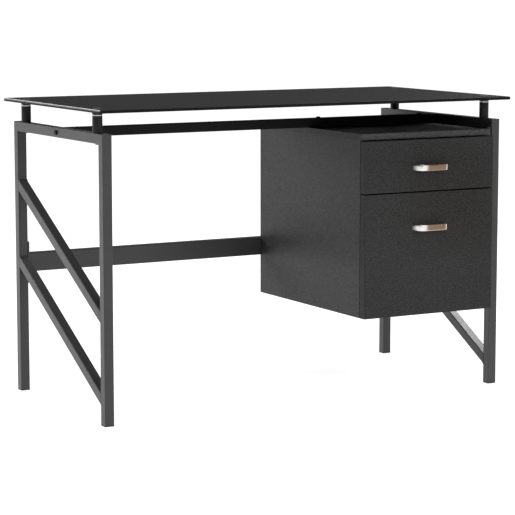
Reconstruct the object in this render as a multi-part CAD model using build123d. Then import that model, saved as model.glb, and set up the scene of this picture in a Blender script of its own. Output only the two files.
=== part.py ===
from build123d import *
import math
import os

# A glass-topped desk on two welded tube side frames, with a two-drawer
# cabinet hung under its right half. Millimetres, +Z up.
# X runs along the desk, to the right of the person who sits at it. -Y is that
# person's side. The floor is Z = 0. Everything is drawn about the middle of
# the glass and then moved back by DESK_Y, so that the origin is the middle of
# the whole object's footprint, handles included.

# ---- driving dimensions -------------------------------------------------
GLASS_LENGTH = 1200
GLASS_DEPTH = 600
GLASS_THICKNESS = 8
GLASS_CORNER_RADIUS = 4
GLASS_EDGE_CHAMFER = 0.8

FRAME_LENGTH = 1165
FRAME_DEPTH = 550
FRAME_HEIGHT = 716
TUBE = 25
TUBE_WALL = 1.5
TUBE_CORNER = 2

BRACE_DROP = 280            # fall of each diagonal brace from rear leg to front leg
UPPER_BRACE_TOP = 563       # height where a brace's top face meets the rear leg
LOWER_BRACE_TOP = 360

STRETCHER_HEIGHT = 50
STRETCHER_TOP = 368
PLATE_THICKNESS = 4
PLATE_OVERHANG = 30         # plate beyond the stretcher, above and below

GLIDE_LIP = 3
GLIDE_PLUG_DEPTH = 15

GLIDE_CHAMFER = 0.8

STANDOFF_DIAMETER = 25
STANDOFF_HEIGHT = 42
STANDOFF_INSET = 55         # from the frame's front or rear face to the standoff's axis
STANDOFF_CHAMFER = 0.6
PAD_HEIGHT = 10
PAD_BORE_DEPTH = 8

CABINET_LEFT = 145.5
CABINET_WIDTH = 400
CABINET_BOTTOM = 212
BOARD = 16
TOP_BOARD_NOSE = 8.5        # the top board stands this far in front of the carcass
SPACER_HEIGHT = 40          # packing strip between the cabinet and the right side frame
SPACER_RISE = 4             # it stands this far above the cabinet, against the top rail
SPACER_SETBACK = 3

FRONT_THICKNESS = 22
FRONT_CHAMFER = 0.6
FRONT_GAP = 3               # between carcass and drawer fronts, and between the fronts
UPPER_FRONT_HEIGHT = 135
TOP_REVEAL = 2.5            # between the top board and the upper front

BOX_DEPTH = 500
BOX_BOARD = 12
BOX_FLOOR = 5
BOX_FLOOR_RAISE = 8
GROOVE_DEPTH = 6
GROOVE_PLAY = 0.1
UPPER_BOX_BOTTOM = 556
UPPER_BOX_HEIGHT = 90
LOWER_BOX_BOTTOM = 238
LOWER_BOX_HEIGHT = 250

RUNNER_SPACE = 12.7         # between the carcass side and the drawer box
RUNNER_SHEET = 1.2
OUTER_RUNNER_HEIGHT = 35
INNER_RUNNER_HEIGHT = 29
RUNNER_LIP = 8.5
RUNNER_SETBACK = 2          # from the carcass front to the cabinet's own channels
UPPER_RUNNER_Z = 601
LOWER_RUNNER_Z = 300

FILE_RAIL_SHEET = 2
FILE_RAIL_LIP = 12
FILE_RAIL_MARGIN = 2        # the strip stops this far inside the board's outer face
FILE_RAIL_END_PLAY = 4

HANDLE_LENGTH = 106
HANDLE_REACH = 25
HANDLE_HEIGHT = 16
HANDLE_STRAP = 3.5
HANDLE_BOW = 3              # the middle stands out this far beyond the shoulders
HANDLE_FOOT = 11            # length of each foot on the drawer front
HANDLE_LEAN = 6             # each end leans in this far from foot to shoulder
HANDLE_GAP_LEAN = 2
HANDLE_SHOULDER_RADIUS = 14
HANDLE_GAP_RADIUS = 8
HANDLE_HOLE_SPACING = 96
HANDLE_SCREW_BITE = 5
HANDLE_HOLE_SPARE = 1       # the hole goes this far past the screw's tip
UPPER_HANDLE_Z = 600
LOWER_HANDLE_Z = 443

# ---- places worked out from them ------------------------------------------
GLASS_TOP = FRAME_HEIGHT + STANDOFF_HEIGHT + PAD_HEIGHT + GLASS_THICKNESS
FRONT_FACE = -GLASS_DEPTH / 2
DESK_Y = HANDLE_REACH / 2
FRAME_FRONT = -FRAME_DEPTH / 2
FRAME_REAR = FRAME_DEPTH / 2
LEG_X = FRAME_LENGTH / 2 - TUBE / 2
LEG_Y = FRAME_DEPTH / 2 - TUBE / 2
INNER_X = FRAME_LENGTH / 2 - TUBE
INNER_Y = FRAME_DEPTH / 2 - TUBE
RAIL_BOTTOM = FRAME_HEIGHT - TUBE
RAIL_Z = FRAME_HEIGHT - TUBE / 2
STANDOFF_Y = FRAME_DEPTH / 2 - STANDOFF_INSET
STRETCHER_Z = STRETCHER_TOP - STRETCHER_HEIGHT / 2

CABINET_RIGHT = CABINET_LEFT + CABINET_WIDTH
CABINET_X = (CABINET_LEFT + CABINET_RIGHT) / 2
CABINET_TOP = RAIL_BOTTOM
CABINET_REAR = INNER_Y
CARCASS_TOP = CABINET_TOP - BOARD
CARCASS_FRONT = FRAME_FRONT
FRONT_BACK = FRONT_FACE + FRONT_THICKNESS
UPPER_FRONT_TOP = CARCASS_TOP - TOP_REVEAL
UPPER_FRONT_BOTTOM = UPPER_FRONT_TOP - UPPER_FRONT_HEIGHT
LOWER_FRONT_TOP = UPPER_FRONT_BOTTOM - FRONT_GAP
BOX_REAR = FRONT_BACK + BOX_DEPTH
BOX_LEFT = CABINET_LEFT + BOARD + RUNNER_SPACE
BOX_RIGHT = CABINET_RIGHT - BOARD - RUNNER_SPACE

# ---- fasteners: shank diameter, head diameter, head height --------------------
M6 = (6, 11.5, 3.3)
M8 = (8, 13, 4.2)
M4 = (4, 8, 2.4)
HOLE_PLAY = 0.2             # a hole is this much wider than its screw or dowel
DOWEL_DIAMETER = 8
DOWEL_LENGTH = 30
CABINET_BOLT_INSET = 38     # from the cabinet's side to its hanging bolts
DOWEL_CHAMFER = 0.8
BOARD_BITE = 13             # how deep a bolt or dowel goes into a board
DOWEL_SPARE = 5             # dowel length left over once both boards are bitten
PLATE_BOLT_INSET = 15       # from the plate's end to its bolt
HEAD_ROUNDING = 0.62        # shares of a head's height, or of a shank's diameter
SOCKET_DEPTH = 0.6
SOCKET_RADIUS = 0.36
TIP_CHAMFER = 0.12


def block(x_range, y_range, z_range):
    """A box between two X, two Y and two Z values."""
    size = [high - low for low, high in (x_range, y_range, z_range)]
    middle = [(high + low) / 2 for low, high in (x_range, y_range, z_range)]
    return Pos(*middle) * Box(*size)


def turned_to(axis):
    """The turn that takes +Z to the named direction."""
    turns = {
        "+Z": Rot(0, 0, 0),
        "-Z": Rot(180, 0, 0),
        "+X": Rot(0, 90, 0),
        "-X": Rot(0, -90, 0),
        "+Y": Rot(-90, 0, 0),
        "-Y": Rot(90, 0, 0),
    }
    return turns[axis]


def tube(length, width=TUBE, height=TUBE):
    """A rectangular tube centred on the origin, along Z, open at both ends."""
    outside = RectangleRounded(width, height, TUBE_CORNER)
    bore = Rectangle(width - 2 * TUBE_WALL, height - 2 * TUBE_WALL)
    return extrude(outside - bore, amount=length / 2, both=True)


def hole(place, axis, depth, diameter):
    """A drill that starts at a place and goes a given depth along an axis."""
    drill = Pos(0, 0, depth / 2) * Cylinder((diameter + HOLE_PLAY) / 2, depth)
    return Pos(*place) * turned_to(axis) * drill


def bolt(place, axis, length, size):
    """A button-head socket screw: its head's underside is at the place, and
    its shank runs along the axis."""
    diameter, head_diameter, head_height = size
    head = Pos(0, 0, -head_height / 2) * Cylinder(head_diameter / 2, head_height)
    head = fillet(head.edges().group_by(Axis.Z)[0], head_height * HEAD_ROUNDING)
    hexagon = RegularPolygon(diameter * SOCKET_RADIUS, 6)
    socket = extrude(hexagon, amount=head_height * SOCKET_DEPTH)
    head -= Pos(0, 0, -head_height) * socket
    shank = Pos(0, 0, length / 2) * Cylinder(diameter / 2, length)
    shank = chamfer(shank.edges().group_by(Axis.Z)[-1], diameter * TIP_CHAMFER)
    return Pos(*place) * turned_to(axis) * (head + shank)


def save(name, shapes):
    """Moves a node to its place about the origin and writes it."""
    solids = []
    for shape in shapes if isinstance(shapes, list) else [shapes]:
        solids += shape.solids()
    moved = [Pos(0, DESK_Y, 0) * solid for solid in solids]
    node = moved[0] if len(moved) == 1 else Compound(children=moved)
    export_step(node, os.path.join("parts", name + ".step"))


# ---- where things are bolted ---------------------------------------------------
CORNERS = {
    "front_left": (-1, -1),
    "front_right": (1, -1),
    "rear_left": (-1, 1),
    "rear_right": (1, 1),
}
SIDES = {"left": -1, "right": 1}
CABINET_BOLT_XS = (CABINET_LEFT + CABINET_BOLT_INSET, CABINET_RIGHT - CABINET_BOLT_INSET)
PLATE_BOLT_ZS = (
    STRETCHER_TOP + PLATE_OVERHANG - PLATE_BOLT_INSET,
    STRETCHER_TOP - STRETCHER_HEIGHT - PLATE_OVERHANG + PLATE_BOLT_INSET,
)
PLATE_BOLT_LENGTH = 16
BAR_BOLT_LENGTH = 42
BAR_NUT_LENGTH = 20
STANDOFF_BOLT_LENGTH = TUBE + STANDOFF_HEIGHT + PAD_BORE_DEPTH - 1


# ---- welded side frames ---------------------------------------------------------
def mitre(corner_y, facing):
    """The plane that halves a top corner; its normal looks up and outwards."""
    return Plane(origin=(0, corner_y, FRAME_HEIGHT), z_dir=(0, facing, 1))


def leg(side, end):
    """An upright tube, mitred at the top where the rail meets it."""
    length = FRAME_HEIGHT - GLIDE_LIP
    x = side * LEG_X
    upright = Pos(x, end * LEG_Y, GLIDE_LIP + length / 2) * tube(length)
    corner = end * FRAME_DEPTH / 2
    upright = split(upright, bisect_by=mitre(corner, -end), keep=Keep.BOTTOM)
    if end > 0:
        for z in PLATE_BOLT_ZS:
            start = (side * INNER_X - side * PLATE_THICKNESS, LEG_Y, z)
            outwards = "+X" if side > 0 else "-X"
            upright -= hole(start, outwards, PLATE_BOLT_LENGTH, M6[0])
    return upright


def top_rail(side):
    """The side frame's top tube, drilled for the cross bar and the standoffs."""
    x = side * LEG_X
    rail = Pos(x, 0, RAIL_Z) * turned_to("+Y") * tube(FRAME_DEPTH)
    for end in (-1, 1):
        plane = mitre(end * FRAME_DEPTH / 2, -end)
        rail = split(rail, bisect_by=plane, keep=Keep.TOP)
        rail -= hole((x, end * STANDOFF_Y, RAIL_BOTTOM), "+Z", TUBE, M6[0])
    outer_face = side * FRAME_LENGTH / 2
    inwards = "-X" if side > 0 else "+X"
    return rail - hole((outer_face, 0, RAIL_Z), inwards, TUBE, M8[0])


def brace(side, top):
    """A diagonal tube that falls from the rear leg to the front leg, cut flush
    with both."""
    span = 2 * INNER_Y
    slope = math.atan2(BRACE_DROP, span)
    middle_z = top - BRACE_DROP / 2 - TUBE / math.cos(slope) / 2
    rough_length = span / math.cos(slope) + 2 * TUBE
    sloping = Rot(math.degrees(slope), 0, 0) * turned_to("+Y") * tube(rough_length)
    between_legs = Box(2 * TUBE, span, 2 * FRAME_HEIGHT)
    return Pos(side * LEG_X, 0, middle_z) * (sloping & between_legs)


def side_frames():
    for side_name, side in SIDES.items():
        save(side_name + "_front_leg", leg(side, -1))
        save(side_name + "_rear_leg", leg(side, 1))
        save(side_name + "_top_rail", top_rail(side))
        save(side_name + "_upper_brace", brace(side, UPPER_BRACE_TOP))
        save(side_name + "_lower_brace", brace(side, LOWER_BRACE_TOP))


def leg_glides():
    """A plastic plug in the foot of each leg, with a lip the tube stands on."""
    plug_width = TUBE - 2 * TUBE_WALL - HOLE_PLAY
    glides = []
    for side, end in CORNERS.values():
        lip = extrude(RectangleRounded(TUBE, TUBE, TUBE_CORNER), amount=GLIDE_LIP)
        lip = chamfer(lip.edges().group_by(Axis.Z)[0], GLIDE_CHAMFER)
        plug_z = GLIDE_LIP + GLIDE_PLUG_DEPTH / 2
        plug = Pos(0, 0, plug_z) * Box(plug_width, plug_width, GLIDE_PLUG_DEPTH)
        glides.append(Pos(side * LEG_X, end * LEG_Y, 0) * (lip + plug))
    save("leg_glides", glides)


# ---- cross members -------------------------------------------------------------
def upper_bar():
    """The bar between the two top rails, which the cabinet hangs from."""
    bar = Pos(0, 0, RAIL_Z) * turned_to("+X") * tube(2 * INNER_X)
    for x in CABINET_BOLT_XS:
        bar -= hole((x, 0, RAIL_BOTTOM), "+Z", TUBE, M6[0])
    save("upper_bar", bar)
    nut_width = TUBE - 2 * TUBE_WALL - HOLE_PLAY
    nuts = []
    bolts = []
    for side in SIDES.values():
        inwards = "-X" if side > 0 else "+X"
        nut_x = side * (INNER_X - BAR_NUT_LENGTH / 2)
        nut = Pos(nut_x, 0, RAIL_Z) * Box(BAR_NUT_LENGTH, nut_width, nut_width)
        nuts.append(nut - hole((side * INNER_X, 0, RAIL_Z), inwards, BAR_NUT_LENGTH, M8[0]))
        bolts.append(bolt((side * FRAME_LENGTH / 2, 0, RAIL_Z), inwards, BAR_BOLT_LENGTH, M8))
    save("bar_nut_blocks", nuts)
    save("bar_bolts", bolts)


def lower_stretcher():
    """The flat tube between the rear legs, with a welded plate on each end."""
    length = 2 * (INNER_X - PLATE_THICKNESS)
    flat_tube = tube(length, width=STRETCHER_HEIGHT, height=TUBE)
    stretcher = Pos(0, LEG_Y, STRETCHER_Z) * turned_to("+X") * flat_tube
    for x in CABINET_BOLT_XS:
        stretcher -= hole((x, FRAME_REAR, STRETCHER_Z), "-Y", TUBE, M6[0])
    save("lower_stretcher", stretcher)
    plate_height = STRETCHER_HEIGHT + 2 * PLATE_OVERHANG
    plates = []
    bolts = []
    for side in SIDES.values():
        outwards = "+X" if side > 0 else "-X"
        plate_x = side * (INNER_X - PLATE_THICKNESS / 2)
        inner_face = side * (INNER_X - PLATE_THICKNESS)
        plate = Box(PLATE_THICKNESS, TUBE, plate_height)
        plate = fillet(plate.edges().filter_by(Axis.X), TUBE_CORNER)
        plate = Pos(plate_x, LEG_Y, STRETCHER_Z) * plate
        for z in PLATE_BOLT_ZS:
            plate -= hole((inner_face, LEG_Y, z), outwards, PLATE_THICKNESS, M6[0])
            bolts.append(bolt((inner_face, LEG_Y, z), outwards, PLATE_BOLT_LENGTH, M6))
        plates.append(plate)
    save("stretcher_plates", plates)
    save("stretcher_bolts", bolts)


# ---- glass top and what holds it ------------------------------------------------
def glass_top():
    z_range = (GLASS_TOP - GLASS_THICKNESS, GLASS_TOP)
    x_range = (-GLASS_LENGTH / 2, GLASS_LENGTH / 2)
    sheet = block(x_range, (-GLASS_DEPTH / 2, GLASS_DEPTH / 2), z_range)
    sheet = fillet(sheet.edges().filter_by(Axis.Z), GLASS_CORNER_RADIUS)
    rims = sheet.edges().group_by(Axis.Z)
    save("glass_top", chamfer(rims[0] + rims[-1], GLASS_EDGE_CHAMFER))


def standoffs():
    """Four posts on the rails, each with a metal pad bonded under the glass and
    a long bolt up through rail and post into the pad."""
    pad_bottom = FRAME_HEIGHT + STANDOFF_HEIGHT
    bolts = []
    for corner_name, (side, end) in CORNERS.items():
        x = side * LEG_X
        y = end * STANDOFF_Y
        post = Cylinder(STANDOFF_DIAMETER / 2, STANDOFF_HEIGHT)
        rims = post.edges().group_by(Axis.Z)
        post = chamfer(rims[0] + rims[-1], STANDOFF_CHAMFER)
        post = Pos(x, y, FRAME_HEIGHT + STANDOFF_HEIGHT / 2) * post
        post -= hole((x, y, FRAME_HEIGHT), "+Z", STANDOFF_HEIGHT, M6[0])
        save("standoff_" + corner_name, post)
        pad = Cylinder(STANDOFF_DIAMETER / 2, PAD_HEIGHT)
        pad = chamfer(pad.edges().group_by(Axis.Z)[0], STANDOFF_CHAMFER)
        pad = Pos(x, y, pad_bottom + PAD_HEIGHT / 2) * pad
        pad -= hole((x, y, pad_bottom), "+Z", PAD_BORE_DEPTH, M6[0])
        save("glass_pad_" + corner_name, pad)
        bolts.append(bolt((x, y, RAIL_BOTTOM), "+Z", STANDOFF_BOLT_LENGTH, M6))
    save("standoff_bolts", bolts)


# ---- cabinet ---------------------------------------------------------------------
# Dowels sit this far from the carcass front, the rear, the bottom and the top.
DOWEL_FROM_FRONT = 55
DOWEL_FROM_REAR = 60
DOWEL_FROM_BOTTOM = 90
DOWEL_FROM_TOP = 75


def dowel_places():
    """Middle, direction and bite of each dowel: the bite is how far it goes back
    from the joint, into the board that it points out of."""
    short_bite = DOWEL_LENGTH - BOARD_BITE - DOWEL_SPARE
    places = []
    for side in SIDES.values():
        board_x = CABINET_X + side * (CABINET_WIDTH / 2 - BOARD / 2)
        joint_x = CABINET_X + side * (CABINET_WIDTH / 2 - BOARD)
        inwards = "-X" if side > 0 else "+X"
        for y in (CARCASS_FRONT + DOWEL_FROM_FRONT, CABINET_REAR - DOWEL_FROM_REAR):
            places.append(((board_x, y, CARCASS_TOP + short_bite), "-Z"))
            places.append(((joint_x + side * short_bite, y, CABINET_BOTTOM + BOARD / 2), inwards))
        for z in (CABINET_BOTTOM + DOWEL_FROM_BOTTOM, CARCASS_TOP - DOWEL_FROM_TOP):
            places.append(((joint_x + side * short_bite, CABINET_REAR - BOARD / 2, z), inwards))
    return places


def cabinet():
    left_x = (CABINET_LEFT, CABINET_LEFT + BOARD)
    right_x = (CABINET_RIGHT - BOARD, CABINET_RIGHT)
    inside_x = (left_x[1], right_x[0])
    full_z = (CABINET_BOTTOM, CARCASS_TOP)
    side_y = (CARCASS_FRONT, CABINET_REAR)
    back_y = (CABINET_REAR - BOARD, CABINET_REAR)
    boards = {
        "cabinet_top": block(
            (CABINET_LEFT, CABINET_RIGHT),
            (CARCASS_FRONT - TOP_BOARD_NOSE, CABINET_REAR),
            (CARCASS_TOP, CABINET_TOP),
        ),
        "cabinet_side_left": block(left_x, side_y, full_z),
        "cabinet_side_right": block(right_x, side_y, full_z),
        "cabinet_back": block(inside_x, back_y, full_z),
        "cabinet_bottom": block(
            inside_x,
            (CARCASS_FRONT, back_y[0]),
            (CABINET_BOTTOM, CABINET_BOTTOM + BOARD),
        ),
    }
    drills = [hole(place, axis, DOWEL_LENGTH, DOWEL_DIAMETER) for place, axis in dowel_places()]
    top_bolts = []
    rear_bolts = []
    for x in CABINET_BOLT_XS:
        top_bolts.append(bolt((x, 0, FRAME_HEIGHT), "-Z", TUBE + BOARD_BITE, M6))
        rear_bolts.append(bolt((x, FRAME_REAR, STRETCHER_Z), "-Y", TUBE + BOARD_BITE, M6))
        drills.append(hole((x, 0, CABINET_TOP), "-Z", BOARD_BITE, M6[0]))
        drills.append(hole((x, CABINET_REAR, STRETCHER_Z), "-Y", BOARD_BITE, M6[0]))
    for name, board in boards.items():
        for drill in drills:
            board -= drill
        save(name, board)
    save("cabinet_hanging_bolts", top_bolts)
    save("cabinet_rear_bolts", rear_bolts)
    dowels = []
    for place, axis in dowel_places():
        pin = Pos(0, 0, DOWEL_LENGTH / 2) * Cylinder(DOWEL_DIAMETER / 2, DOWEL_LENGTH)
        pin = chamfer(pin.edges().filter_by(GeomType.CIRCLE), DOWEL_CHAMFER)
        dowels.append(Pos(*place) * turned_to(axis) * pin)
    save("cabinet_dowels", dowels)


def cabinet_spacer():
    """A strip that fills the space between the cabinet and the right side frame
    and laps the side of its top rail. A notch makes room for the upper bar."""
    strip_top = CABINET_TOP + SPACER_RISE
    strip = block(
        (CABINET_RIGHT, INNER_X),
        (CARCASS_FRONT + SPACER_SETBACK, CABINET_REAR),
        (strip_top - SPACER_HEIGHT, strip_top),
    )
    bar_room = block((CABINET_RIGHT, INNER_X), (-TUBE / 2, TUBE / 2), (RAIL_BOTTOM, FRAME_HEIGHT))
    strip -= bar_room
    save("cabinet_spacer", strip)


# ---- drawer runners --------------------------------------------------------------
def channel(height, lip, length):
    """A sheet-metal channel along Y: its back is at X = 0, and its lips point to +X."""
    sheet = block((0, RUNNER_SHEET), (0, length), (-height / 2, height / 2))
    for sign in (-1, 1):
        edge = sorted((sign * height / 2, sign * (height / 2 - RUNNER_SHEET)))
        sheet += block((0, lip), (0, length), edge)
    return sheet


def runners(drawer_name, z):
    """On each side, a channel on the cabinet and a smaller one on the drawer box
    that runs inside its lips."""
    outer = channel(OUTER_RUNNER_HEIGHT, RUNNER_LIP, BOX_DEPTH)
    inner = channel(INNER_RUNNER_HEIGHT, RUNNER_LIP, BOX_DEPTH)
    outer_place = Pos(CABINET_LEFT + BOARD, CARCASS_FRONT + RUNNER_SETBACK, z)
    inner_place = Pos(BOX_LEFT, FRONT_BACK, z)
    mirror_plane = Plane.YZ.offset(CABINET_X)
    left_pair = (
        ("cabinet_runner", outer_place * outer),
        ("drawer_runner", inner_place * mirror(inner, Plane.YZ)),
    )
    for kind, channel_shape in left_pair:
        save(drawer_name + "_" + kind + "_left", channel_shape)
        save(drawer_name + "_" + kind + "_right", mirror(channel_shape, mirror_plane))


# ---- drawers ---------------------------------------------------------------------
def bowed_outline(half_length, lean, depth, radius):
    """A face that stands on Y = 0: its ends lean in, its shoulders are rounded,
    and its front is bowed and reaches the given depth."""
    half_front = half_length - lean
    shoulder_y = HANDLE_BOW - depth
    left = Polyline((-half_length, 0), (-half_front, shoulder_y))
    front = ThreePointArc((-half_front, shoulder_y), (0, -depth), (half_front, shoulder_y))
    right = Polyline((half_front, shoulder_y), (half_length, 0), (-half_length, 0))
    face = make_face(left + front + right)
    return fillet(face.vertices().group_by(Axis.Y)[0], radius)


def handle(z):
    """A bowed strap that stands on the drawer front on two feet."""
    half = HANDLE_LENGTH / 2
    outside = bowed_outline(half, HANDLE_LEAN, HANDLE_REACH, HANDLE_SHOULDER_RADIUS)
    gap_depth = HANDLE_REACH - HANDLE_STRAP
    gap = bowed_outline(half - HANDLE_FOOT, HANDLE_GAP_LEAN, gap_depth, HANDLE_GAP_RADIUS)
    strap = extrude(outside - gap, amount=HANDLE_HEIGHT / 2, both=True)
    return Pos(CABINET_X, FRONT_FACE, z) * strap


def drawer(name, front_z, box_bottom, box_height, handle_z):
    """A drawer front with a box behind it, all joined rigidly."""
    inner_left = BOX_LEFT + BOX_BOARD
    inner_right = BOX_RIGHT - BOX_BOARD
    box_top = box_bottom + box_height
    floor_z = (box_bottom + BOX_FLOOR_RAISE, box_bottom + BOX_FLOOR_RAISE + BOX_FLOOR)
    groove_z = (floor_z[0] - GROOVE_PLAY, floor_z[1] + GROOVE_PLAY)
    groove = block(
        (inner_left - GROOVE_DEPTH, inner_right + GROOVE_DEPTH),
        (FRONT_BACK - GROOVE_DEPTH, BOX_REAR),
        groove_z,
    )
    floor_reach = GROOVE_DEPTH - 2 * GROOVE_PLAY
    front = block((CABINET_LEFT, CABINET_RIGHT), (FRONT_FACE, FRONT_BACK), front_z)
    front = chamfer(front.edges().group_by(Axis.Y)[0], FRONT_CHAMFER)
    front -= groove
    screws = []
    screw_length = FRONT_THICKNESS + HANDLE_SCREW_BITE
    grip = handle(handle_z)
    for side in SIDES.values():
        start = (CABINET_X + side * HANDLE_HOLE_SPACING / 2, FRONT_BACK, handle_z)
        drill = hole(start, "-Y", screw_length + HANDLE_HOLE_SPARE, M4[0])
        front -= drill
        grip -= drill
        screws.append(bolt(start, "-Y", screw_length, M4))
    side_y = (FRONT_BACK, BOX_REAR)
    back_z = (groove_z[1], box_top)
    left_board = block((BOX_LEFT, inner_left), side_y, (box_bottom, box_top)) - groove
    right_board = block((inner_right, BOX_RIGHT), side_y, (box_bottom, box_top)) - groove
    rear_board = block((inner_left, inner_right), (BOX_REAR - BOX_BOARD, BOX_REAR), back_z)
    floor = block(
        (inner_left - floor_reach, inner_right + floor_reach),
        (FRONT_BACK - floor_reach, BOX_REAR),
        floor_z,
    )
    save(name + "_drawer_front", front)
    save(name + "_drawer_side_left", left_board)
    save(name + "_drawer_side_right", right_board)
    save(name + "_drawer_back", rear_board)
    save(name + "_drawer_floor", floor)
    save(name + "_handle", grip)
    save(name + "_handle_screws", screws)


def file_rails():
    """Angle strips on the lower drawer's sides, which hanging files hook over."""
    z = LOWER_BOX_BOTTOM + LOWER_BOX_HEIGHT
    inner_edge = BOX_LEFT + BOX_BOARD
    y_range = (FRONT_BACK + FILE_RAIL_END_PLAY, BOX_REAR - BOX_BOARD - FILE_RAIL_END_PLAY)
    seat = block((BOX_LEFT + FILE_RAIL_MARGIN, inner_edge), y_range, (z, z + FILE_RAIL_SHEET))
    lip = block((inner_edge - FILE_RAIL_SHEET, inner_edge), y_range, (z, z + FILE_RAIL_LIP))
    rail = seat + lip
    save("file_rail_left", rail)
    save("file_rail_right", mirror(rail, Plane.YZ.offset(CABINET_X)))


def main():
    os.makedirs("parts", exist_ok=True)
    side_frames()
    leg_glides()
    upper_bar()
    lower_stretcher()
    glass_top()
    standoffs()
    cabinet()
    cabinet_spacer()
    runners("upper", UPPER_RUNNER_Z)
    runners("lower", LOWER_RUNNER_Z)
    upper_front_z = (UPPER_FRONT_BOTTOM, UPPER_FRONT_TOP)
    lower_front_z = (CABINET_BOTTOM, LOWER_FRONT_TOP)
    drawer("upper", upper_front_z, UPPER_BOX_BOTTOM, UPPER_BOX_HEIGHT, UPPER_HANDLE_Z)
    drawer("lower", lower_front_z, LOWER_BOX_BOTTOM, LOWER_BOX_HEIGHT, LOWER_HANDLE_Z)
    file_rails()


main()
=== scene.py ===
import math

import bmesh
import bpy
from mathutils import Matrix, Vector


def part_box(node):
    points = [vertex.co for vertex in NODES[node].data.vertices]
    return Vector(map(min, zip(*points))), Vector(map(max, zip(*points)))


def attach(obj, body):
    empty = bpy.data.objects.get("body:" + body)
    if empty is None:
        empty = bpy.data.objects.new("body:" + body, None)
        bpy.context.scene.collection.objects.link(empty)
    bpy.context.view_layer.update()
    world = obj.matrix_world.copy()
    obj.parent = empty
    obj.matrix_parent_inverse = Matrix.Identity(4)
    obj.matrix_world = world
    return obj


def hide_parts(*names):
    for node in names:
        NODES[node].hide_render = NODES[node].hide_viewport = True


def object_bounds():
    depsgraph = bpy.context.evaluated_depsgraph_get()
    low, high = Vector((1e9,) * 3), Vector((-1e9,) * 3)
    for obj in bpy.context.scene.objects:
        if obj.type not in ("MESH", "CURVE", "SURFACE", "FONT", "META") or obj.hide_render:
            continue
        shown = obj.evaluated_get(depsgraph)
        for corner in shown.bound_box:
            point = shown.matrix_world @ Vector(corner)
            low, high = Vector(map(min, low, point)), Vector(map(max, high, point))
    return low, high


# A glass-topped desk with two side frames and a two-drawer cabinet. Metres, in
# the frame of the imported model: +Z up, -Y towards the person who sits at it.

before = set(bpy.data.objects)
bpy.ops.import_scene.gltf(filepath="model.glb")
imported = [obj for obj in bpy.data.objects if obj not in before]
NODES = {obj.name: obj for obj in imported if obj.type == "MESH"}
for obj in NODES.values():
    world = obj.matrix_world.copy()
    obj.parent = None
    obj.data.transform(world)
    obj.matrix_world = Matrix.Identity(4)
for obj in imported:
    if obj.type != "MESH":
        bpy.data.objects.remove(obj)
CAD_LOW, CAD_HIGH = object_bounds()

MM = 0.001
ALONG_X, ALONG_Y, ALONG_Z = Vector((1, 0, 0)), Vector((0, 1, 0)), Vector((0, 0, 1))


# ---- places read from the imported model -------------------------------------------
GLASS_LOW, GLASS_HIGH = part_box("glass_top")
GLASS_MIDDLE = (GLASS_LOW + GLASS_HIGH) / 2
PAD_LOW, PAD_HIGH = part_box("glass_pad_rear_right")
PAD_CENTRE = (PAD_LOW + PAD_HIGH) / 2
PAD_RADIUS = (PAD_HIGH.x - PAD_LOW.x) / 2
PAD_INSET = PAD_CENTRE - GLASS_MIDDLE


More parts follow.
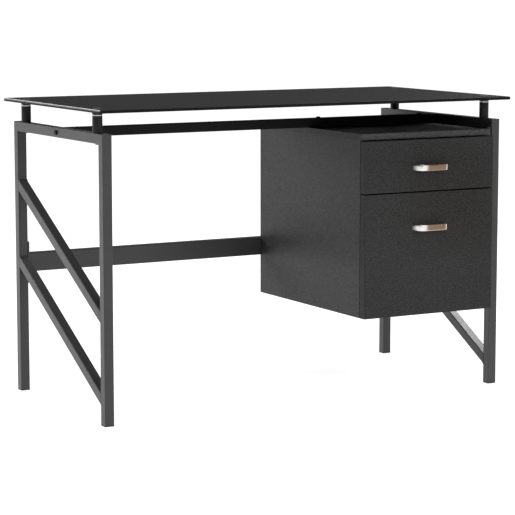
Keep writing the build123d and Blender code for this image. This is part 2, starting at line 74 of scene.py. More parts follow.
# ---- procedural finishes ---------------------------------------------------------
class Finish:
    """A material with a Principled shader, and the nodes that vary its tone, its
    roughness and its relief. Sizes are in metres on the object itself."""

    def __init__(self, name, tone, roughness, sockets=None):
        self.material = bpy.data.materials.new(name)
        self.material.use_nodes = True
        self.tree = self.material.node_tree
        self.shader = self.tree.nodes["Principled BSDF"]
        self.coords = self.tree.nodes.new("ShaderNodeTexCoord").outputs["Object"]
        self.geometry = self.tree.nodes.new("ShaderNodeNewGeometry")
        self.tone = tone
        self.light = None
        self.rough = None
        self.base_roughness = roughness
        self.height = None
        for socket, value in (sockets or {}).items():
            self.shader.inputs[socket].default_value = value

    def join(self, output, target):
        """Sets an input to a number or links it to an output."""
        if isinstance(output, bpy.types.NodeSocket):
            self.tree.links.new(output, target)
        else:
            target.default_value = output

    def math(self, operation, a, b=0.0, clamp=False):
        """The output of a Math node."""
        node = self.tree.nodes.new("ShaderNodeMath")
        node.operation = operation
        node.use_clamp = clamp
        self.join(a, node.inputs[0])
        self.join(b, node.inputs[1])
        return node.outputs[0]

    def vector(self, operation, a, b=None):
        """A Vector Math node, because its result can be a vector or a value."""
        node = self.tree.nodes.new("ShaderNodeVectorMath")
        node.operation = operation
        self.join(a, node.inputs[0])
        if b is not None:
            self.join(b, node.inputs[1])
        return node

    def ranged(self, value, low, high, to_low=0.0, to_high=1.0):
        """Maps low..high to to_low..to_high, smoothly and without going past them."""
        node = self.tree.nodes.new("ShaderNodeMapRange")
        node.interpolation_type = "SMOOTHSTEP"
        self.join(value, node.inputs["Value"])
        node.inputs["From Min"].default_value = low
        node.inputs["From Max"].default_value = high
        node.inputs["To Min"].default_value = to_low
        node.inputs["To Max"].default_value = to_high
        return node.outputs["Result"]

    def noise(self, size, detail=2.0, stretch=(1, 1, 1)):
        """Soft noise from 0 to 1 with blotches of about the given size."""
        node = self.tree.nodes.new("ShaderNodeTexNoise")
        scaled = self.vector("MULTIPLY", self.coords, tuple(1 / s for s in stretch))
        self.join(scaled.outputs[0], node.inputs["Vector"])
        node.inputs["Scale"].default_value = 1 / size
        node.inputs["Detail"].default_value = detail
        return node.outputs["Fac"]

    def cells(self, size, feature="F1"):
        """Distance to the nearest point of an uneven grid."""
        node = self.tree.nodes.new("ShaderNodeTexVoronoi")
        node.feature = feature
        self.join(self.coords, node.inputs["Vector"])
        node.inputs["Scale"].default_value = 1 / size
        return node.outputs["Distance"]

    def edges(self, width):
        """1 on sharp edges and 0 away from them."""
        rounded = self.tree.nodes.new("ShaderNodeBevel")
        rounded.samples = 4
        rounded.inputs["Radius"].default_value = width
        same = self.vector("DOT_PRODUCT", rounded.outputs[0], self.geometry.outputs["Normal"])
        return self.ranged(same.outputs["Value"], 0.98, 0.80)

    def facing(self, axis):
        """How much a face looks along an axis, either way, from 0 to 1."""
        split = self.tree.nodes.new("ShaderNodeSeparateXYZ")
        turned = self.tree.nodes.new("ShaderNodeVectorTransform")
        turned.vector_type = "NORMAL"
        turned.convert_from = "WORLD"
        turned.convert_to = "OBJECT"
        self.join(self.geometry.outputs["True Normal"], turned.inputs[0])
        self.join(turned.outputs[0], split.inputs[0])
        return self.math("ABSOLUTE", split.outputs[axis])

    def lighten(self, mask, amount):
        """Makes the tone amount lighter, as a share of itself, where the mask is 1."""
        share = self.math("MULTIPLY_ADD", mask, amount)
        share.node.inputs[2].default_value = 1.0
        self.light = share if self.light is None else self.math("MULTIPLY", self.light, share)

    def mottle(self, value, amount):
        """Swings the tone up and down with a 0..1 noise."""
        self.lighten(self.math("SUBTRACT", value, 0.5), 2 * amount)

    def roughen(self, mask, amount):
        """Adds amount to the roughness where the mask is 1."""
        extra = self.math("MULTIPLY", mask, amount)
        self.rough = extra if self.rough is None else self.math("ADD", self.rough, extra)

    def emboss(self, value, depth):
        """Adds relief of the given depth."""
        rise = self.math("MULTIPLY", value, depth)
        self.height = rise if self.height is None else self.math("ADD", self.height, rise)

    def glow(self, colour, strength):
        """Makes the surface give light of its own."""
        self.shader.inputs["Emission Color"].default_value = (*colour, 1)
        self.shader.inputs["Emission Strength"].default_value = strength

    def done(self):
        """Joins what was added to the shader and returns the material."""
        inputs = self.shader.inputs
        inputs["Base Color"].default_value = (*self.tone, 1)
        inputs["Roughness"].default_value = self.base_roughness
        if self.light is not None:
            scaled = self.vector("SCALE", self.tone)
            self.join(self.light, scaled.inputs["Scale"])
            self.join(scaled.outputs[0], inputs["Base Color"])
        if self.rough is not None:
            total = self.math("ADD", self.rough, self.base_roughness, clamp=True)
            self.join(total, inputs["Roughness"])
        if self.height is not None:
            bump = self.tree.nodes.new("ShaderNodeBump")
            bump.inputs["Distance"].default_value = 1.0
            self.join(self.height, bump.inputs["Height"])
            self.join(bump.outputs[0], inputs["Normal"])
        return self.material


def grey(level, warmth=0.0):
    """A grey. Warmth adds this share of red and takes as much blue away."""
    return (level * (1 + warmth), level, level * (1 - warmth))


def powder_coat(name, level, roughness, gloss=0.42):
    """Baked powder on steel: orange peel, fine grit, and lighter edges, partly where it is thin
    and partly a painted highlight.
    """
    coat = Finish(name, grey(level), roughness, {"Specular IOR Level": gloss})
    coat.mottle(coat.noise(0.16, 3), 0.10)
    coat.mottle(coat.noise(0.7 * MM, 2), 0.09)
    # Lighter edges: partly powder worn thin, partly a painted highlight along the corners.
    coat.lighten(coat.edges(0.7 * MM), 0.45)
    coat.roughen(coat.math("SUBTRACT", coat.noise(0.03, 3), 0.5), 0.16)
    coat.emboss(coat.noise(1.6 * MM, 2), 0.05 * MM)
    coat.emboss(coat.noise(0.35 * MM, 1), 0.012 * MM)
    return coat.done()


def laminate(name, level, roughness=0.5, band=None, grain=1.0):
    """Board with a pebbled matt face. Faces that look along X or Z, which on a drawer front are
    its edges, have their tone changed by the share that band gives."""
    board = Finish(name, grey(level), roughness, {"Specular IOR Level": 0.26})
    pebble = board.cells(1.9 * MM, "SMOOTH_F1")
    patches = board.ranged(board.noise(3.2 * MM, 3), 0.38, 0.62)
    wide_drift = board.noise(0.22, 2)
    board.mottle(wide_drift, 0.09)
    board.mottle(patches, 0.50 * grain)
    board.mottle(pebble, 0.30 * grain)
    board.lighten(board.edges(0.6 * MM), 0.35)
    if band is not None:
        side = board.facing("X")
        over = board.facing("Z")
        rim = board.ranged(board.math("MAXIMUM", side, over), 0.5, 0.8)
        board.lighten(rim, band)
    board.roughen(board.math("SUBTRACT", board.noise(5 * MM, 2), 0.5), 0.14)
    board.emboss(pebble, 0.30 * MM)
    board.emboss(board.noise(0.6 * MM, 2), 0.03 * MM)
    return board.done()


def from_pads(surface):
    """Distance from the axis of the nearest of the four glass pads."""
    centred = surface.vector("SUBTRACT", surface.coords, tuple(GLASS_MIDDLE))
    folded = surface.vector("ABSOLUTE", centred.outputs[0])
    flat = surface.vector("MULTIPLY", folded.outputs[0], (1, 1, 0))
    inset = (PAD_INSET.x, PAD_INSET.y, 0)
    return surface.vector("DISTANCE", flat.outputs[0], inset).outputs["Value"]


def black_glass():
    """Glass painted black underneath: a face with a soft sheen and a fine speckle. Its colour
    holds painted light:
    pale ends with a painted highlight on their arris, painted shade on the long edges, and
    painted bright rings over the pads."""
    sockets = {"Specular IOR Level": 0.15}
    glass = Finish("black_glass", grey(0.0085, -0.02), 0.26, sockets)
    speckle, wide_drift = glass.noise(1.6 * MM, 1), glass.noise(0.35, 2)
    glass.mottle(speckle, 0.6)
    glass.mottle(wide_drift, 0.08)
    height = glass.tree.nodes.new("ShaderNodeSeparateXYZ")
    glass.join(glass.coords, height.inputs[0])
    dark_to, pale_from = GLASS_LOW.z + 4.0 * MM, GLASS_LOW.z + 4.7 * MM
    above_paint = glass.ranged(height.outputs["Z"], dark_to, pale_from)
    end_face = glass.ranged(glass.facing("X"), 0.3, 0.6)
    # Painted light: the end faces above the paint are made pale, as light through the polished
    # glass would show.
    glass.lighten(glass.math("MULTIPLY", end_face, above_paint), 16.0)
    # Painted shade: the long front and rear edges are made darker.
    glass.lighten(glass.ranged(glass.facing("Y"), 0.3, 0.6), -0.6)
    # Painted highlight: a thin pale line on the arris above the paint, where the chamfer
    # catches the light.
    arris = glass.ranged(glass.facing("Z"), 0.95, 0.75)
    flank = glass.ranged(glass.facing("Z"), 0.6, 0.4)
    arris_highlight = glass.math("SUBTRACT", arris, flank, clamp=True)
    glass.lighten(glass.math("MULTIPLY", arris_highlight, above_paint), 4.0)
    # Painted reflection: bright rings on the glass over each pad, standing in for the pads'
    # metal seen through the glass.
    pad_glint_outer = glass.ranged(from_pads(glass), PAD_RADIUS * 0.93, PAD_RADIUS * 0.80)
    pad_glint_inner = glass.ranged(from_pads(glass), PAD_RADIUS * 0.28, PAD_RADIUS * 0.34)
    glass.lighten(glass.math("MULTIPLY", pad_glint_outer, pad_glint_inner), 16.0)
    glass.roughen(glass.ranged(glass.facing("Z"), 0.9, 0.6), 0.4)
    glass.roughen(glass.math("SUBTRACT", glass.noise(0.05, 3), 0.5), 0.05)
    glass.emboss(glass.noise(1.1 * MM, 1), 0.006 * MM)
    return glass.done()


def turned_metal():
    """Aluminium with the fine rings that a lathe leaves."""
    metal = Finish("pad_metal", grey(0.78), 0.24, {"Metallic": 1.0})
    ring_spacing = 0.5 * MM
    turns = metal.math("MULTIPLY", from_pads(metal), 2 * math.pi / ring_spacing)
    rings = metal.math("SINE", turns)
    metal.emboss(rings, 0.010 * MM)
    metal.mottle(metal.noise(3 * MM, 3), 0.06)
    metal.lighten(metal.edges(0.4 * MM), 0.15)
    metal.roughen(metal.noise(1.5 * MM, 2), 0.10)
    return metal.done()


def satin_nickel():
    """Nickel plate brushed along X, and polished bright on its edges."""
    metal = Finish("handle_nickel", (0.70, 0.68, 0.655), 0.12, {"Metallic": 1.0})
    brushed = metal.noise(0.35 * MM, 2, stretch=(60, 1, 1))
    metal.emboss(brushed, 0.008 * MM)
    metal.mottle(brushed, 0.05)
    metal.mottle(metal.noise(9 * MM, 2), 0.05)
    metal.lighten(metal.edges(0.6 * MM), 0.20)
    metal.roughen(metal.math("SUBTRACT", metal.noise(6 * MM, 3), 0.5), 0.10)
    return metal.done()


def zinc_plate(name, level=0.62, roughness=0.32):
    """Zinc on sheet steel: small crystals and rolling marks along Y."""
    metal = Finish(name, grey(level, -0.01), roughness, {"Metallic": 1.0})
    metal.mottle(metal.cells(2.2 * MM), 0.12)
    metal.mottle(metal.noise(0.5 * MM, 2, stretch=(1, 80, 1)), 0.08)
    metal.lighten(metal.edges(0.4 * MM), 0.15)
    metal.roughen(metal.noise(4 * MM, 3), 0.14)
    metal.emboss(metal.noise(0.8 * MM, 2), 0.008 * MM)
    return metal.done()


def black_screw():
    """Black oxide on steel, rubbed bright on its edges."""
    steel = Finish("black_fastener", grey(0.014), 0.34, {"Metallic": 0.7})
    steel.lighten(steel.edges(0.35 * MM), 2.2)
    steel.mottle(steel.noise(1.5 * MM, 3), 0.25)
    steel.roughen(steel.noise(2 * MM, 2), 0.14)
    steel.emboss(steel.noise(0.5 * MM, 2), 0.010 * MM)
    return steel.done()


def moulded_plastic(name, tone, roughness):
    """Spark-finished moulding."""
    plastic = Finish(name, tone, roughness, {"Specular IOR Level": 0.45})
    plastic.mottle(plastic.noise(1.2 * MM, 2), 0.12)
    plastic.lighten(plastic.edges(0.5 * MM), 0.5)
    plastic.roughen(plastic.noise(3 * MM, 2), 0.12)
    plastic.emboss(plastic.noise(0.45 * MM, 2), 0.02 * MM)
    return plastic.done()


def beech():
    """Bare beech: streaks along the grain with short darker flecks."""
    wood = Finish("dowel_wood", (0.60, 0.42, 0.25), 0.55)
    wood.mottle(wood.noise(0.8 * MM, 3, stretch=(1, 12, 12)), 0.22)
    wood.mottle(wood.noise(0.4 * MM, 2), 0.12)
    wood.roughen(wood.noise(2 * MM, 2), 0.1)
    wood.emboss(wood.noise(0.5 * MM, 2), 0.03 * MM)
    return wood.done()


def all_finishes():
    """One finish per material slot, and a darker copy of the laminate, painted shade, for the
    cabinet's top board.
    """
    return {
        "frame_steel": powder_coat("frame_steel", 0.030, 0.34),
        # Painted shade: the bar's tone, darker than the frame's, stands for the glass's shadow
        # on the same paint.
        "bar_steel": powder_coat("bar_steel", 0.012, 0.50, gloss=0.10),
        "glide_plastic": moulded_plastic("glide_plastic", grey(0.022), 0.5),
        "black_glass": black_glass(),
        "standoff_black": powder_coat("standoff_black", 0.012, 0.45, gloss=0.22),
        "pad_metal": turned_metal(),
        "black_fastener": black_screw(),
        "zinc_steel": zinc_plate("zinc_steel"),
        "cabinet_board": laminate("cabinet_board", 0.019, 0.46),
        # Painted shade: the cabinet's top board is its laminate made darker, as the glass above
        # shades it.
        "shaded_top_board": laminate("shaded_top_board", 0.015, 0.50),
        "front_board": laminate("front_board", 0.0165, 0.50, band=-0.60),
        "drawer_board": laminate("drawer_board", 0.19, 0.45, grain=0.3),
        "dowel_wood": beech(),
        "handle_nickel": satin_nickel(),
    }


FINISHES = all_finishes()


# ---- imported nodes: finish and eased edges ----------------------------------------
EASED = {
    "frame_steel": 0.35 * MM,
    "bar_steel": 0.35 * MM,
    "cabinet_board": 0.5 * MM,
    "front_board": 0.8 * MM,
    "drawer_board": 0.5 * MM,
    "zinc_steel": 0.15 * MM,
}


def ease_edges(node, width):
    """Rounds a node's sharp edges a little, as paint, wear or a polisher does."""
    weld = node.modifiers.new("weld", "WELD")
    weld.merge_threshold = 0.002 * MM
    flat = node.modifiers.new("flat_faces", "DECIMATE")
    flat.decimate_type = "DISSOLVE"
    flat.angle_limit = math.radians(0.3)
    if width:
        bevel = node.modifiers.new("eased_edges", "BEVEL")
        bevel.width = width
        bevel.segments = 2
        bevel.limit_method = "ANGLE"
        bevel.angle_limit = math.radians(50)
        bevel.use_clamp_overlap = True
    normals = node.modifiers.new("even_normals", "WEIGHTED_NORMAL")
    normals.keep_sharp = False
    normals.weight = 80


def dress_nodes():
    """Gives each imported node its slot's finish and eases its edges."""
    for name, node in NODES.items():
        slot = node.data.materials[0].name
        # The cabinet's top board takes the darker laminate, which is painted shade.
        node.data.materials[0] = FINISHES["shaded_top_board" if name == "cabinet_top" else slot]
        ease_edges(node, EASED.get(slot, 0.0))


dress_nodes()


# ---- mesh tools ------------------------------------------------------------------
BEAD_SPACING = 0.55 * MM    # between two rings of a bead
BEAD_SIDES = 8
BEAD_TIP = 0.35             # the first ring's radius, as a share of the full one
BEAD_GROWTH = 0.22          # what each next ring gains, until the bead is full
RIPPLE_LENGTH = 2.2 * MM
TINY = 1e-9


def around(count):
    """Angles that share out a full turn."""
    return [2 * math.pi * i / count for i in range(count)]


def into_scene(thing):
    bpy.context.scene.collection.objects.link(thing)


def skin(bm, rings, closed=False):
    """Joins rings of points with faces. An open skin gets a cap at each end."""
    rows = [[bm.verts.new(point) for point in ring] for ring in rings]
    following = rows[1:] + rows[:1] if closed else rows[1:]
    count = len(rows[0])
    for row, next_row in zip(rows, following):
        for i in range(count):
            j = (i + 1) % count
            bm.faces.new((row[i], row[j], next_row[j], next_row[i]))
    if not closed:
        bm.faces.new(rows[0][::-1])
        bm.faces.new(rows[-1])


def slab(bm, low, high, rounding):
    """A box between two corners, with rounded edges."""
    size = Vector(high) - Vector(low)
    place = Matrix.Translation((Vector(low) + Vector(high)) / 2) @ Matrix.Diagonal((*size, 1))
    made = bmesh.ops.create_cube(bm, size=1, matrix=place)
    edges = list({edge for vert in made["verts"] for edge in vert.link_edges})
    bmesh.ops.bevel(bm, geom=edges, offset=rounding, segments=2, profile=0.5, affect="EDGES")


def turned(bm, profile, place, axis, sides=20, lobes=4):
    """A lathe shape. Each step of the profile is how far along the axis, the
    radius, and how much the radius swings in and out, as a recess needs."""
    turn = Vector(axis).to_track_quat("Z", "Y")
    rings = []
    for along, radius, swing in profile:
        ring = []
        for angle in around(sides):
            reach = radius * (1 + swing * math.cos(lobes * angle))
            point = Vector((reach * math.cos(angle), reach * math.sin(angle), along))
            ring.append(Vector(place) + turn @ point)
        rings.append(ring)
    skin(bm, rings)


def bend(start, corner, end, steps):
    """Points on a curve from start to end that leans towards the corner."""
    shares = [step / steps for step in range(steps + 1)]
    return [start.lerp(corner, u).lerp(corner.lerp(end, u), u) for u in shares]


def rounded(points, radius, steps=6):
    """An open path with its corners rounded."""
    path = [points[0]]
    for before, corner, after in zip(points, points[1:], points[2:]):
        start = corner + (before - corner).normalized() * radius
        end = corner + (after - corner).normalized() * radius
        path += bend(start, corner, end, steps)
    return path + [points[-1]]


def evenly(path, spacing, closed=False):
    """Points along a path at an even spacing."""
    if closed:
        path = path + path[:1]
    lengths = [(b - a).length for a, b in zip(path, path[1:])]
    count = max(2, round(sum(lengths) / spacing))
    gap = sum(lengths) / count
    points = []
    run = 0.0
    for a, b, length in zip(path, path[1:], lengths):
        while len(points) * gap <= run + length + TINY and length > 0:
            points.append(a.lerp(b, min(1.0, (len(points) * gap - run) / length)))
        run += length
    return points[:count] if closed else points


def bead(bm, path, normal, radius, closed=False, ripple=0.14):
    """A round bead along a path that lies in the plane with this normal. An open
    bead is thin at its ends."""
    points = evenly(path, BEAD_SPACING, closed)
    rings = []
    for i, point in enumerate(points):
        before = points[i - 1] if closed or i else point
        after = points[(i + 1) % len(points)] if closed or i + 1 < len(points) else point
        across = (after - before).normalized().cross(normal)
        swell = 1 + ripple * abs(math.sin(math.pi * i * BEAD_SPACING / RIPPLE_LENGTH))
        if not closed:
            from_end = min(i, len(points) - 1 - i)
            swell *= min(1.0, BEAD_TIP + BEAD_GROWTH * from_end)
        ring = []
        for angle in around(BEAD_SIDES):
            outwards = math.cos(angle) * normal + math.sin(angle) * across
            ring.append(point + radius * swell * outwards)
        rings.append(ring)
    skin(bm, rings, closed)


def add_piece(name, body, slot, bm, crease=35, finish=None):
    """Turns a bmesh into a smooth-shaded piece that rides on a body. It takes its
    slot's finish, unless it is given another."""
    bmesh.ops.recalc_face_normals(bm, faces=bm.faces)
    mesh = bpy.data.meshes.new(name)
    bm.to_mesh(mesh)
    bm.free()
    mesh.shade_smooth()
    mesh.set_sharp_from_angle(angle=math.radians(crease))
    mesh.materials.append(finish or FINISHES[slot])
    made = bpy.data.objects.new(name, mesh)
    into_scene(made)
    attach(made, body)
    return made


# ---- welds on the side frames ----------------------------------------------------
WELD_RADIUS = 1.5 * MM
WELD_INSET = 1.2 * MM       # beads stop short of the frame's outer face, which is ground flush
WELD_CORNER = 2 * MM        # rounding of a bead's path around a tube's corner
SAME_PLACE = 0.1 * MM


def brace_end_heights(node, end_y):
    """Lowest and highest point of a brace's cut end."""
    vertices = NODES[node].data.vertices
    heights = [v.co.z for v in vertices if abs(v.co.y - end_y) < SAME_PLACE]
    return min(heights), max(heights)


def brace_welds(bm, side_name):
    """Beads around both ends of each brace, except on the outer face."""
    for brace in (side_name + "_upper_brace", side_name + "_lower_brace"):
        low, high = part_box(brace)
        outer, inner = (low.x, high.x) if side_name == "left" else (high.x, low.x)
        start = outer + math.copysign(WELD_INSET, inner - outer)
        for y in (low.y, high.y):
            bottom, top = brace_end_heights(brace, y)
            corners = [(start, top), (inner, top), (inner, bottom), (start, bottom)]
            path = rounded([Vector((x, y, z)) for x, z in corners], WELD_CORNER)
            bead(bm, path, ALONG_Y, WELD_RADIUS)


def rail_welds(bm, side_name):
    """Beads under the top rail, where it meets each leg."""
    low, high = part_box(side_name + "_top_rail")
    behind_front_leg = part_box(side_name + "_front_leg")[1].y
    before_rear_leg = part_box(side_name + "_rear_leg")[0].y
    for y in (behind_front_leg, before_rear_leg):
        ends = [Vector((x, y, low.z)) for x in (low.x + WELD_INSET, high.x - WELD_INSET)]
        bead(bm, ends, ALONG_Y, WELD_RADIUS)


def stretcher_welds(bm, side_name):
    """Beads over and under the stretcher, where it meets its end plate."""
    low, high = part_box("lower_stretcher")
    x = low.x if side_name == "left" else high.x
    for z in (low.z, high.z):
        ends = [Vector((x, y, z)) for y in (low.y + WELD_INSET, high.y - WELD_INSET)]
        bead(bm, ends, ALONG_X, WELD_RADIUS)


for side in ("left", "right"):
    weld_mesh = bmesh.new()
    brace_welds(weld_mesh, side)
    rail_welds(weld_mesh, side)
    stretcher_welds(weld_mesh, side)
    add_piece(side + "_weld_beads", "desk", "frame_steel", weld_mesh, 60)


# ---- glue rings under the glass --------------------------------------------------
GLUE_RADIUS = 0.3 * MM


def glue_rings():
    """The thin fillet of glue that is pressed out where a pad meets the glass."""
    bm = bmesh.new()
    for corner in ("front_left", "front_right", "rear_left", "rear_right"):
        low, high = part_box("glass_pad_" + corner)
        centre = (low + high) / 2
        circle = []
        for angle in around(72):
            x = centre.x + PAD_RADIUS * math.cos(angle)
            y = centre.y + PAD_RADIUS * math.sin(angle)
            circle.append(Vector((x, y, high.z)) - GLUE_RADIUS * ALONG_Z)
        bead(bm, circle, ALONG_Z, GLUE_RADIUS, closed=True, ripple=0.05)
    glue = moulded_plastic("cured_glue", grey(0.05), 0.2)
    add_piece("glass_glue_rings", "desk", "black_glass", bm, 60, glue)


glue_rings()


# ---- drawer handles --------------------------------------------------------------
HANDLE_FOOT = 11 * MM                                   # length of a foot, along X
HANDLE_STRAP = 3.5 * MM                                 # thickness in the middle
HANDLE_BOW = 3 * MM                                     # of the middle, past the shoulders
HANDLE_ROUNDING = 1.3 * MM                              # of the long edges
HANDLE_FOOT_HEIGHT = 0.74                               # as a share of the full height
HANDLE_FULL_HEIGHT_AT = 0.5                             # as a share of the shoulders' depth
OUTSIDE_LEAN, OUTSIDE_SHOULDER = 11.6 * MM, 9 * MM
INSIDE_LEAN, INSIDE_SHOULDER = 5 * MM, 8 * MM
SHOULDER_STEPS, FRONT_STEPS = 8, 12
SHOULDER_FRONT = 0.8                                    # its front part, against its end part
HALF_STATIONS = 44                                      # cross-sections from foot to middle


def handle_plan(half_length, depth, lean, shoulder):
    """Points from the left foot to the middle of one face of the handle, seen
    from above: a leaning end, a rounded shoulder and half of the bowed front."""
    foot = Vector((-half_length, 0))
    corner = Vector((-half_length + lean, HANDLE_BOW - depth))
    front_slope = Vector((1, -2 * HANDLE_BOW / (half_length - lean))).normalized()
    start = corner + (foot - corner).normalized() * shoulder
    end = corner + front_slope * shoulder * SHOULDER_FRONT
    path = [foot] + bend(start, corner, end, SHOULDER_STEPS)
    rise = (end.y + depth) / end.x ** 2
    for step in range(1, FRONT_STEPS + 1):
        x = end.x * (1 - step / FRONT_STEPS)
        path.append(Vector((x, rise * x * x - depth)))
    length = sum((b - a).length for a, b in zip(path, path[1:]))
    return evenly(path, length / HALF_STATIONS)


def rounded_rectangle(half_width, half_height, rounding, corner_points=6):
    """Points around a rectangle with round corners, as pairs across and up."""
    points = []
    for quarter, (side, level) in enumerate(((1, 1), (-1, 1), (-1, -1), (1, -1))):
        for step in range(corner_points):
            angle = 2 * math.pi * (quarter + step / (corner_points - 1)) / 4
            across = side * (half_width - rounding) + rounding * math.cos(angle)
            up = level * (half_height - rounding) + rounding * math.sin(angle)
            points.append((across, up))
    return points


def drawer_handle(drawer):
    """A bowed strap: a rounded bar, tall in the middle and narrower at the feet."""
    node = drawer + "_handle"
    low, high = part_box(node)
    half_length, depth, half_height = (high.x - low.x) / 2, high.y - low.y, (high.z - low.z) / 2
    centre_x, centre_z = (low.x + high.x) / 2, (low.z + high.z) / 2
    inside_half, inside_depth = half_length - HANDLE_FOOT, depth - HANDLE_STRAP
    outside = handle_plan(half_length, depth, OUTSIDE_LEAN, OUTSIDE_SHOULDER)
    inside = handle_plan(inside_half, inside_depth, INSIDE_LEAN, INSIDE_SHOULDER)
    left = list(zip(outside, inside))
    right = [(Vector((-a.x, a.y)), Vector((-b.x, b.y))) for a, b in reversed(left[:-1])]
    rings = []
    for outer, inner in left + right:
        share = min(1.0, -outer.y / (HANDLE_FULL_HEIGHT_AT * (depth - HANDLE_BOW)))
        growth = (1 - HANDLE_FOOT_HEIGHT) * math.sin(share * math.pi / 2)
        tall = half_height * (HANDLE_FOOT_HEIGHT + growth)
        middle, half_thick = (outer + inner) / 2, (outer - inner) / 2
        outward = half_thick.normalized()
        ring = []
        for across, up in rounded_rectangle(half_thick.length, tall, HANDLE_ROUNDING):
            place = middle + outward * across
            ring.append(Vector((centre_x + place.x, high.y + place.y, centre_z + up)))
        rings.append(ring)
    bm = bmesh.new()
    skin(bm, rings)
    made = add_piece(drawer + "_bow_handle", drawer + "_drawer", "handle_nickel", bm, 75)
    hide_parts(node)


for drawer in ("upper", "lower"):
    drawer_handle(drawer)


# ---- cabinet and drawer trim -----------------------------------------------------
BAND = 0.5 * MM                                         # thickness of an edge band
BAND_MARGIN = 0.1 * MM                                  # bands stay inside the board's faces
BAND_ROUNDING = 0.2 * MM
BUMPER_RADIUS = 3.5 * MM
BUMPER_HEIGHT = 2.3 * MM
BUMPER_INSET = 14 * MM                                  # from a drawer front's top and bottom
BUMPER_ANGLES = (0, 0.3, 0.6, 0.9, 1.2, 1.45)           # up the dome
RUNNER_SHEET = 1.2 * MM
RUNNER_SCREWS = (0.07, 0.52, 0.92)                      # shares of a channel's length
BALL_RADIUS = 0.85 * MM
BALL_ANGLES = (-1.4, -0.9, -0.3, 0.3, 0.9, 1.4)         # from pole to pole
BALL_COUNT, BALL_PITCH = 13, 8 * MM
FIRST_BALL = 6 * MM                                     # from the cage's front end
CAGE_START = 6 * MM                                     # behind the channel's front end
CAGE_LENGTH = 108 * MM
CAGE_HALF_WIDTH, CAGE_HALF_THICKNESS = 2.4 * MM, 0.3 * MM
CAGE_ROUNDING = 0.1 * MM
FITTING_HEIGHTS = {"upper": (0.25, 0.75), "lower": (0.12, 0.5, 0.88)}   # shares of a side board
CAM_LOCK_INSET = 24 * MM                                # behind the side board's front end

# Profiles in millimetres, for turned().
PAN_HEAD = (
    (0, 3.6, 0), (0.5, 3.6, 0), (1.2, 3.2, 0), (1.7, 2.3, 0),
    (1.75, 1.5, 0.35), (0.7, 0.9, 0.35), (0.6, 0.3, 0),
)
FLAT_HEAD = (
    (0, 3.4, 0), (0.25, 3.4, 0), (0.35, 3.1, 0),
    (0.35, 1.6, 0.35), (0.1, 1.0, 0.35), (0.05, 0.3, 0),
)
CAM_LOCK = (
    (0, 7.6, 0), (0.3, 7.6, 0), (0.6, 7.2, 0),
    (0.6, 3.4, 0.45), (0.15, 2.6, 0.45), (0.1, 0.6, 0),
)


def in_metres(profile):
    return [(along * MM, radius * MM, swing) for along, radius, swing in profile]


def edge_bands():
    """Plastic bands on the carcass edges that face the drawer fronts, lighter than the board as
    a painted highlight.
    """
    bm = bmesh.new()
    for board in ("cabinet_side_left", "cabinet_side_right", "cabinet_bottom", "cabinet_top"):
        low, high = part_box(board)
        slab(
            bm,
            (low.x + BAND_MARGIN, low.y - BAND, low.z + BAND_MARGIN),
            (high.x - BAND_MARGIN, low.y, high.z - BAND_MARGIN),
            BAND_ROUNDING,
        )
    # Painted highlight: the band's tone, about twice the board's, stands for the light line
    # these edges catch.
    band = laminate("edge_band", 0.040, 0.38)
    add_piece("cabinet_edge_bands", "desk", "cabinet_board", bm, finish=band)


def bumpers():
    """Soft domes on the carcass that the drawer fronts close against."""
    bm = bmesh.new()
    dome = [
        (BUMPER_HEIGHT * math.sin(angle), BUMPER_RADIUS * math.cos(angle), 0)
        for angle in BUMPER_ANGLES
    ]
    for board in ("cabinet_side_left", "cabinet_side_right"):
        low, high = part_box(board)
        for drawer in ("upper", "lower"):
            front_low, front_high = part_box(drawer + "_drawer_front")
            for z in (front_low.z + BUMPER_INSET, front_high.z - BUMPER_INSET):
                place = ((low.x + high.x) / 2, low.y - BAND, z)
                turned(bm, dome, place, (0, -1, 0), lobes=1)
    silicone = moulded_plastic("bumper_silicone", grey(0.30), 0.3)
    add_piece("front_bumpers", "desk", "glide_plastic", bm, 60, silicone)


def ball_cages():
    """Short strips of balls between the lips of each pair of channels."""
    bm = bmesh.new()
    ball = [
        (BALL_RADIUS * math.sin(angle), BALL_RADIUS * math.cos(angle), 0)
        for angle in BALL_ANGLES
    ]
    for drawer in ("upper", "lower"):
        for side_name in ("left", "right"):
            outer_low, outer_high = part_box(f"{drawer}_cabinet_runner_{side_name}")
            inner_low, inner_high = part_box(f"{drawer}_drawer_runner_{side_name}")
            x = (outer_low.x + outer_high.x) / 2
            start = outer_low.y + CAGE_START
            over = (outer_high.z - RUNNER_SHEET + inner_high.z) / 2
            under = (outer_low.z + RUNNER_SHEET + inner_low.z) / 2
            for z in (over, under):
                slab(
                    bm,
                    (x - CAGE_HALF_WIDTH, start, z - CAGE_HALF_THICKNESS),
                    (x + CAGE_HALF_WIDTH, start + CAGE_LENGTH, z + CAGE_HALF_THICKNESS),
                    CAGE_ROUNDING,
                )
                for i in range(BALL_COUNT):
                    place = (x, start + FIRST_BALL + i * BALL_PITCH, z)
                    turned(bm, ball, place, (0, 0, 1), sides=10, lobes=1)
    steel = zinc_plate("bearing_steel", 0.45, 0.25)
    add_piece("runner_ball_cages", "desk", "zinc_steel", bm, 40, steel)


def runner_screws(owner, body, drawers):
    """Pan-head screws in the web of each channel that the owner carries."""
    bm = bmesh.new()
    for drawer in drawers:
        for side_name, inwards in (("left", 1), ("right", -1)):
            low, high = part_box(f"{drawer}_{owner}_runner_{side_name}")
            faces = inwards if owner == "cabinet" else -inwards
            web = (low.x if faces > 0 else high.x) + faces * RUNNER_SHEET
            for share in RUNNER_SCREWS:
                place = (web, low.y + share * (high.y - low.y), (low.z + high.z) / 2)
                turned(bm, in_metres(PAN_HEAD), place, (faces, 0, 0))
    add_piece(body + "_runner_screws", body, "zinc_steel", bm, 40)


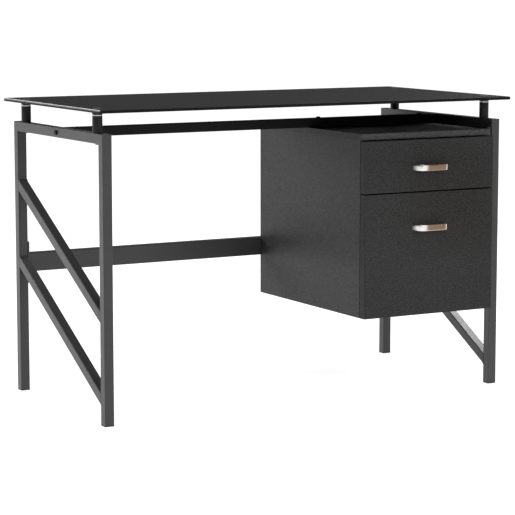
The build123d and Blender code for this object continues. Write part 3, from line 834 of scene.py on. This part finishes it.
def box_fittings(drawer):
    """Screws through each side board into the back, and cam locks that pull the
    side boards to the front."""
    bm = bmesh.new()
    back_low, back_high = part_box(drawer + "_drawer_back")
    for side_name, outwards in (("left", -1), ("right", 1)):
        low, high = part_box(f"{drawer}_drawer_side_{side_name}")
        outer, inner = (low.x, high.x) if outwards < 0 else (high.x, low.x)
        for share in FITTING_HEIGHTS[drawer]:
            z = low.z + share * (high.z - low.z)
            screw = (outer, (back_low.y + back_high.y) / 2, z)
            lock = (inner, low.y + CAM_LOCK_INSET, z)
            turned(bm, in_metres(FLAT_HEAD), screw, (outwards, 0, 0))
            turned(bm, in_metres(CAM_LOCK), lock, (-outwards, 0, 0), sides=32)
    add_piece(drawer + "_box_fittings", drawer + "_drawer", "zinc_steel", bm, 40)


edge_bands()
bumpers()
ball_cages()
runner_screws("cabinet", "desk", ("upper", "lower"))
for drawer in ("upper", "lower"):
    runner_screws("drawer", drawer + "_drawer", (drawer,))
    box_fittings(drawer)


# ---- camera, floor and lights ----------------------------------------------------
CARD_DISTANCE = 0.30                                    # from the handle that it shows in
CARD_BOTTOM, CARD_TOP = 0.34, 0.61


def aim(thing, place, target):
    """Puts a thing at a place and turns it towards a target."""
    thing.location = place
    direction = Vector(target) - Vector(place)
    thing.rotation_euler = direction.to_track_quat("-Z", "Y").to_euler()


def camera():
    """A long lens in front of the desk's left end, a little above the glass."""
    lens = bpy.data.cameras.new("camera")
    lens.sensor_width = 36
    lens.lens = 146.6
    lens.clip_end = 500
    degrees_down, degrees_right = 7.65, 29.15
    eye = bpy.data.objects.new("camera", lens)
    eye.location = (-2.7043, -4.8305, 1.0937)
    eye.rotation_euler = (math.radians(90 - degrees_down), 0, math.radians(-degrees_right))
    into_scene(eye)
    bpy.context.scene.camera = eye


def floor():
    """A pale floor that reaches the horizon. It glows a little, as a white floor
    does that is lit far beyond the desk."""
    radius, sides = 150, 96
    mesh = bpy.data.meshes.new("floor")
    rim = [(radius * math.cos(angle), radius * math.sin(angle), 0) for angle in around(sides)]
    mesh.from_pydata(rim, [], [list(range(sides))])
    ground = bpy.data.objects.new("floor", mesh)
    into_scene(ground)
    paper = Finish("floor_paper", grey(0.30), 0.9, {"Specular IOR Level": 0.1})
    paper.mottle(paper.noise(0.3, 3), 0.01)
    paper.glow((1, 1, 1), 0.82)
    material = paper.done()
    material.cycles.emission_sampling = "NONE"
    mesh.materials.append(material)


def reflected_card(name, corners, colour):
    """A glowing card that shows only in reflections."""
    mesh = bpy.data.meshes.new(name)
    mesh.from_pydata(corners, [], [(0, 1, 2, 3)])
    card = bpy.data.objects.new(name, mesh)
    into_scene(card)
    paper = Finish(name, (0, 0, 0), 1.0, {"Specular IOR Level": 0.0})
    paper.glow(colour, 1.0)
    mesh.materials.append(paper.done())
    for rays in ("camera", "diffuse", "transmission", "volume_scatter", "shadow"):
        setattr(card, "visible_" + rays, False)


def standing_card(name, seen_from, first, last, colour):
    """A card between two directions, in degrees to the right of straight ahead."""
    feet = []
    for degrees in (first, last):
        angle = math.radians(degrees)
        ahead = Vector((math.sin(angle), -math.cos(angle), 0))
        feet.append(seen_from + CARD_DISTANCE * ahead)
    left, right = feet
    corners = [(left.x, left.y, CARD_BOTTOM), (right.x, right.y, CARD_BOTTOM)]
    corners += [(right.x, right.y, CARD_TOP), (left.x, left.y, CARD_TOP)]
    reflected_card(name, corners, colour)


def softbox(name, place, size, power, glow):
    """A soft light on the desk. Reflections show its cloth, dimmer than the light
    it gives, so that it leaves a sheen on the glass and not a white glare."""
    light = bpy.data.lights.new(name, "AREA")
    light.shape = "RECTANGLE"
    light.size, light.size_y = size
    light.energy = power
    lamp = bpy.data.objects.new(name, light)
    aim(lamp, place, (CAD_LOW + CAD_HIGH) / 2)
    lamp.visible_camera = False
    lamp.visible_glossy = False
    into_scene(lamp)
    turn = lamp.rotation_euler.to_matrix()
    halves = ((-0.5, -0.5), (0.5, -0.5), (0.5, 0.5), (-0.5, 0.5))
    corners = [Vector(place) + turn @ Vector((x * size[0], y * size[1], 0)) for x, y in halves]
    reflected_card(name + "_cloth", corners, (glow, glow, glow))


def top_light():
    """Even light from overhead, as from a white ceiling."""
    sun = bpy.data.lights.new("top_light", "SUN")
    sun.energy = 2.4
    sun.angle = math.radians(70)
    lamp = bpy.data.objects.new("top_light", sun)
    aim(lamp, (-1.0, -1.0, 6.0), (0, 0, 0))
    into_scene(lamp)


def lights():
    """Three softboxes, two cards that the handles reflect, and the light above."""
    softbox("left_softbox", (-3.9, 4.6, 2.7), (3.6, 2.0), power=350, glow=5.0)
    softbox("front_softbox", (0.4, -4.8, 2.5), (2.0, 1.4), power=145, glow=2.5)
    softbox("right_softbox", (2.6, 1.3, 2.6), (1.2, 1.2), power=80, glow=12.0)
    handle_middle = sum(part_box("upper_handle"), Vector()) / 2
    standing_card("white_card", handle_middle, -10, 19.7, (1.3, 1.3, 1.3))
    standing_card("warm_card", handle_middle, 19.7, 66, (0.36, 0.235, 0.155))
    top_light()


def surroundings():
    """White behind the floor's far edge, and a dim studio for everything else."""
    world = bpy.data.worlds.new("studio")
    bpy.context.scene.world = world
    world.use_nodes = True
    tree = world.node_tree
    backdrop = tree.nodes["Background"]
    backdrop.inputs["Color"].default_value = (1, 1, 1, 1)
    path = tree.nodes.new("ShaderNodeLightPath")
    strength = tree.nodes.new("ShaderNodeMapRange")
    tree.links.new(path.outputs["Is Camera Ray"], strength.inputs["Value"])
    strength.inputs["To Min"].default_value = 0.085
    strength.inputs["To Max"].default_value = 1.0
    tree.links.new(strength.outputs["Result"], backdrop.inputs["Strength"])
    bpy.context.scene.view_settings.view_transform = "Standard"


camera()
floor()
lights()
surroundings()
